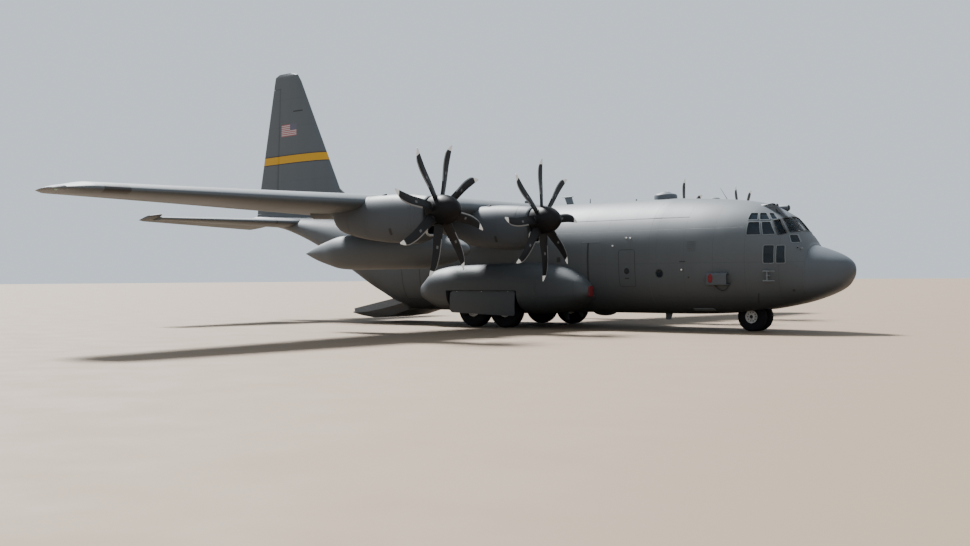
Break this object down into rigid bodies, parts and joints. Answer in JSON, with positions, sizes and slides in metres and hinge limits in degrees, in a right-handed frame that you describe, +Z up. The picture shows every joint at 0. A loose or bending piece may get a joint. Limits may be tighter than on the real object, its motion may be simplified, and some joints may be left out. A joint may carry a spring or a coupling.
{
  "type": "military transport plane, half-size scale model",
  "caption": "High-wing four-propeller transport plane parked on its wheels, tail ramp down, with turning propellers, wheels, flaps and doors.",
  "frame": {"origin": "centre of the bounding box, on the ground under the wheels", "axes": "+X towards the nose, +Y towards the left wing tip, +Z up"},
  "size_m": [14.895, 20.205, 5.83],
  "materials": {
    "grey_skin": "matt military grey paint",
    "radome_grey": "matt grey composite",
    "blade_black": "satin black composite",
    "tyre": "worn rubber",
    "wheel_rim": "light grey painted alloy",
    "gear_steel": "grey painted and polished steel",
    "deck_metal": "worn grey deck",
    "cockpit_fittings": "dark grey cockpit paint",
    "cockpit_glass": "tinted laminated glass"
  },
  "bodies": {
    "airframe": {"nose_shell": "grey_skin", "radome": "radome_grey", "centre_fuselage": "grey_skin", "aft_fuselage": "grey_skin", "cargo_floor": "deck_metal", "flight_deck": "cockpit_fittings", "cockpit_glazing": "cockpit_glass", "paratroop_door_left": "grey_skin", "paratroop_door_right": "grey_skin", "wing_center": "grey_skin", "wing_outer_left": "grey_skin", "wing_outer_right": "grey_skin", "tailplane": "grey_skin", "fin": "grey_skin", "tank_left": "grey_skin", "tank_right": "grey_skin", "sponson_left": "grey_skin", "sponson_right": "grey_skin", "gear_door_left": "grey_skin", "gear_door_right": "grey_skin", "main_leg_left": "gear_steel", "main_leg_right": "gear_steel", "nose_leg": "gear_steel", "nacelle_outer_left": "grey_skin", "engine_outer_left": "gear_steel", "nacelle_inner_left": "grey_skin", "engine_inner_left": "gear_steel", "nacelle_inner_right": "grey_skin", "engine_inner_right": "gear_steel", "nacelle_outer_right": "grey_skin", "engine_outer_right": "gear_steel"},
    "propeller_outer_left": {"propeller_outer_left": "blade_black"},
    "propeller_inner_left": {"propeller_inner_left": "blade_black"},
    "propeller_inner_right": {"propeller_inner_right": "blade_black"},
    "propeller_outer_right": {"propeller_outer_right": "blade_black"},
    "main_wheel_front_left": {"main_rim_front_left": "wheel_rim", "main_tyre_front_left": "tyre"},
    "main_wheel_rear_left": {"main_rim_rear_left": "wheel_rim", "main_tyre_rear_left": "tyre"},
    "main_wheel_front_right": {"main_rim_front_right": "wheel_rim", "main_tyre_front_right": "tyre"},
    "main_wheel_rear_right": {"main_rim_rear_right": "wheel_rim", "main_tyre_rear_right": "tyre"},
    "nose_steering": {"nose_fork": "gear_steel"},
    "nose_wheel": {"nose_wheels": "wheel_rim", "nose_tyre_left": "tyre", "nose_tyre_right": "tyre"},
    "flap_inner_left": {"flap_inner_left": "grey_skin"},
    "flap_outer_left": {"flap_outer_left": "grey_skin"},
    "aileron_left": {"aileron_left": "grey_skin"},
    "elevator_left": {"elevator_left": "grey_skin"},
    "flap_inner_right": {"flap_inner_right": "grey_skin"},
    "flap_outer_right": {"flap_outer_right": "grey_skin"},
    "aileron_right": {"aileron_right": "grey_skin"},
    "elevator_right": {"elevator_right": "grey_skin"},
    "rudder": {"rudder": "grey_skin"},
    "crew_door": {"crew_door": "grey_skin"},
    "cargo_ramp": {"cargo_ramp": "grey_skin"},
    "cargo_door": {"cargo_door": "grey_skin"}
  },
  "joints": [
    {"name": "propeller_outer_left_spin", "type": "hinge", "parent": "airframe", "child": "propeller_outer_left", "pos_m": [3.0475, 5.07, 1.95], "axis": [1, 0, 0], "continuous": true},
    {"name": "propeller_inner_left_spin", "type": "hinge", "parent": "airframe", "child": "propeller_inner_left", "pos_m": [3.0475, 2.475, 1.9], "axis": [1, 0, 0], "continuous": true},
    {"name": "propeller_inner_right_spin", "type": "hinge", "parent": "airframe", "child": "propeller_inner_right", "pos_m": [3.0475, -2.475, 1.9], "axis": [1, 0, 0], "continuous": true},
    {"name": "propeller_outer_right_spin", "type": "hinge", "parent": "airframe", "child": "propeller_outer_right", "pos_m": [3.0475, -5.07, 1.95], "axis": [1, 0, 0], "continuous": true},
    {"name": "main_wheel_front_left_spin", "type": "hinge", "parent": "airframe", "child": "main_wheel_front_left", "pos_m": [1.2125, 1.085, 0.355], "axis": [0, 1, 0], "continuous": true},
    {"name": "main_wheel_rear_left_spin", "type": "hinge", "parent": "airframe", "child": "main_wheel_rear_left", "pos_m": [0.4525, 1.085, 0.355], "axis": [0, 1, 0], "continuous": true},
    {"name": "main_wheel_front_right_spin", "type": "hinge", "parent": "airframe", "child": "main_wheel_front_right", "pos_m": [1.2125, -1.085, 0.355], "axis": [0, 1, 0], "continuous": true},
    {"name": "main_wheel_rear_right_spin", "type": "hinge", "parent": "airframe", "child": "main_wheel_rear_right", "pos_m": [0.4525, -1.085, 0.355], "axis": [0, 1, 0], "continuous": true},
    {"name": "nose_steer", "type": "hinge", "parent": "airframe", "child": "nose_steering", "pos_m": [5.7175, 0, 0.45], "axis": [0, 0, 1], "range_deg": [-60, 60]},
    {"name": "nose_wheel_spin", "type": "hinge", "parent": "nose_steering", "child": "nose_wheel", "pos_m": [5.7175, 0, 0.2475], "axis": [0, 1, 0], "continuous": true},
    {"name": "flap_inner_left_hinge", "type": "hinge", "parent": "airframe", "child": "flap_inner_left", "pos_m": [-0.2101, 1.11, 1.5422], "axis": [0, -1, 0], "range_deg": [0, 36]},
    {"name": "flap_outer_left_hinge", "type": "hinge", "parent": "airframe", "child": "flap_outer_left", "pos_m": [-0.2096, 2.801, 1.5422], "axis": [-0.0762, -0.9971, -0.0044], "range_deg": [0, 36]},
    {"name": "aileron_left_hinge", "type": "hinge", "parent": "airframe", "child": "aileron_left", "pos_m": [0.1422, 6.366, 2.1012], "axis": [0.0811, 0.9967, 0.0033], "range_deg": [-20, 20]},
    {"name": "elevator_left_hinge", "type": "hinge", "parent": "airframe", "child": "elevator_left", "pos_m": [-6.1275, 0.71, 2.23], "axis": [0, 1, 0], "range_deg": [-3.5, 51.5]},
    {"name": "flap_inner_right_hinge", "type": "hinge", "parent": "airframe", "child": "flap_inner_right", "pos_m": [-0.2101, -1.11, 1.5422], "axis": [0, -1, 0], "range_deg": [0, 36]},
    {"name": "flap_outer_right_hinge", "type": "hinge", "parent": "airframe", "child": "flap_outer_right", "pos_m": [-0.2096, -2.801, 1.5422], "axis": [0.0762, -0.9971, 0.0044], "range_deg": [0, 36]},
    {"name": "aileron_right_hinge", "type": "hinge", "parent": "airframe", "child": "aileron_right", "pos_m": [0.1422, -6.366, 2.1012], "axis": [-0.0811, 0.9967, -0.0033], "range_deg": [-20, 20]},
    {"name": "elevator_right_hinge", "type": "hinge", "parent": "airframe", "child": "elevator_right", "pos_m": [-6.1275, -0.71, 2.23], "axis": [0, 1, 0], "range_deg": [-3.5, 51.5]},
    {"name": "rudder_hinge", "type": "hinge", "parent": "airframe", "child": "rudder", "pos_m": [-6.5275, 0, 2.525], "axis": [0.0373, 0, 0.9993], "range_deg": [-35, 35]},
    {"name": "crew_door_hinge", "type": "hinge", "parent": "airframe", "child": "crew_door", "pos_m": [5.2975, 0.855, 0.525], "axis": [-1, 0, 0], "range_deg": [0, 130]},
    {"name": "cargo_ramp_hinge", "type": "hinge", "parent": "airframe", "child": "cargo_ramp", "pos_m": [-1.7175, 0, 0.495], "axis": [0, 1, 0], "range_deg": [-4.5, 30.5]},
    {"name": "cargo_door_hinge", "type": "hinge", "parent": "airframe", "child": "cargo_door", "pos_m": [-5.3675, 0, 2.01], "axis": [0, 1, 0], "range_deg": [0, 23.6]}
  ],
  "couplings": [
    {"joint": "flap_outer_left_hinge", "follows": "flap_inner_left_hinge", "ratio": 1},
    {"joint": "flap_inner_right_hinge", "follows": "flap_inner_left_hinge", "ratio": 1},
    {"joint": "flap_outer_right_hinge", "follows": "flap_inner_left_hinge", "ratio": 1},
    {"joint": "aileron_right_hinge", "follows": "aileron_left_hinge", "ratio": -1},
    {"joint": "elevator_right_hinge", "follows": "elevator_left_hinge", "ratio": 1}
  ]
}
